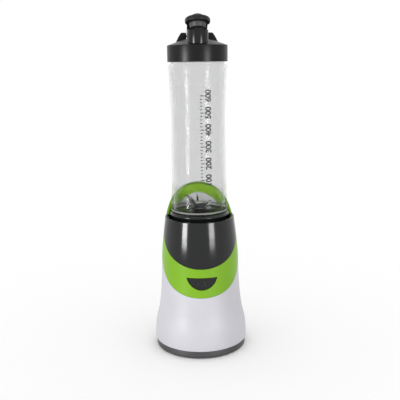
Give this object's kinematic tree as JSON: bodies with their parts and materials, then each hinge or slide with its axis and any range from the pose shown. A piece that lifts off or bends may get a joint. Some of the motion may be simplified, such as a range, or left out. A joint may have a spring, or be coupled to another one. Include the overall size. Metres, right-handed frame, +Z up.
{
  "type": "countertop bottle blender",
  "caption": "Countertop bottle blender: flared motor base with a push button, lift-off clear bottle on a blade unit, and a screw lid with a flip-stopper drinking spout.",
  "frame": {"origin": "centre of the base on the surface it stands on, below the motor's axis", "axes": "+Z up along the motor's axis, -Y the front with the button, +X to the right of the front as seen from behind it"},
  "size_m": [0.1134, 0.1134, 0.4],
  "materials": {
    "white_plastic": "white gloss",
    "green_plastic": "lime gloss",
    "dark_plastic": "charcoal gloss",
    "black_plastic": "black satin",
    "rubber": "black rubber",
    "silicone": "grey silicone",
    "clear_plastic": "clear copolyester",
    "steel": "bright steel",
    "lamination": "dull steel sheet",
    "copper": "enamelled copper",
    "brass": "brass",
    "carbon": "carbon",
    "board": "circuit board",
    "capacitor_case": "amber case"
  },
  "bodies": {
    "base": {"base_shell": "white_plastic", "green_band": "green_plastic", "socket_housing": "dark_plastic", "bottom_cover": "black_plastic", "cord_gland": "rubber", "jar_cushion": "rubber", "well_seal": "rubber", "foot_1": "rubber", "foot_2": "rubber", "foot_3": "rubber", "foot_4": "rubber", "cover_screw_1": "steel", "cover_screw_2": "steel", "cover_screw_3": "steel", "cover_screw_4": "steel", "stator_core": "lamination", "upper_frame": "lamination", "lower_frame": "lamination", "upper_bearing": "steel", "lower_bearing": "steel", "field_coil_left": "copper", "field_coil_right": "copper", "brush_holder_left": "brass", "brush_holder_right": "brass", "brush_left": "carbon", "brush_right": "carbon", "motor_damper_front": "rubber", "motor_damper_back": "rubber", "motor_bolt_front": "steel", "motor_bolt_back": "steel", "switch_bracket": "lamination", "button_switch": "black_plastic", "button_spring": "steel", "control_board": "board", "capacitor": "capacitor_case"},
    "rotor": {"motor_shaft": "steel", "rotor_core": "lamination", "rotor_winding_top": "copper", "rotor_winding_bottom": "copper", "commutator": "copper", "cooling_fan": "black_plastic", "drive_coupling": "rubber"},
    "button": {"power_button": "dark_plastic"},
    "jar": {"bottle": "clear_plastic", "blade_collar": "dark_plastic", "bottle_gasket": "silicone", "bearing_bush": "brass", "shaft_seal": "rubber"},
    "blades": {"blade_shaft": "steel", "blade_lower": "steel", "blade_cross": "steel", "blade_upper": "steel", "blade_nut": "steel", "driven_coupling": "rubber"},
    "lid": {"lid_cap": "dark_plastic", "lid_gasket": "silicone", "hinge_pin": "steel"},
    "stopper": {"stopper_cap": "dark_plastic", "plug_seal": "silicone"}
  },
  "joints": [
    {"name": "motor_spin", "type": "hinge", "parent": "base", "child": "rotor", "pos_m": [0, 0, 0.088], "axis": [0, 0, 1], "continuous": true},
    {"name": "button_press", "type": "slide", "parent": "base", "child": "button", "axis": [0, 1, 0], "range_m": [0, 0.0015], "stiffness_N_per_m": 600},
    {"name": "jar_lift", "type": "slide", "parent": "base", "child": "jar", "axis": [0, 0, 1], "range_m": [0, 0.06]},
    {"name": "blade_spin", "type": "hinge", "parent": "jar", "child": "blades", "pos_m": [0, 0, 0.175], "axis": [0, 0, 1], "continuous": true},
    {"name": "lid_lift", "type": "slide", "parent": "jar", "child": "lid", "axis": [0, 0, 1], "range_m": [0, 0.03]},
    {"name": "stopper_flip", "type": "hinge", "parent": "lid", "child": "stopper", "pos_m": [0, 0.01, 0.3763], "axis": [-1, 0, 0], "range_deg": [-15, 104]}
  ],
  "couplings": [
    {"joint": "blade_spin", "follows": "motor_spin", "ratio": 1}
  ]
}
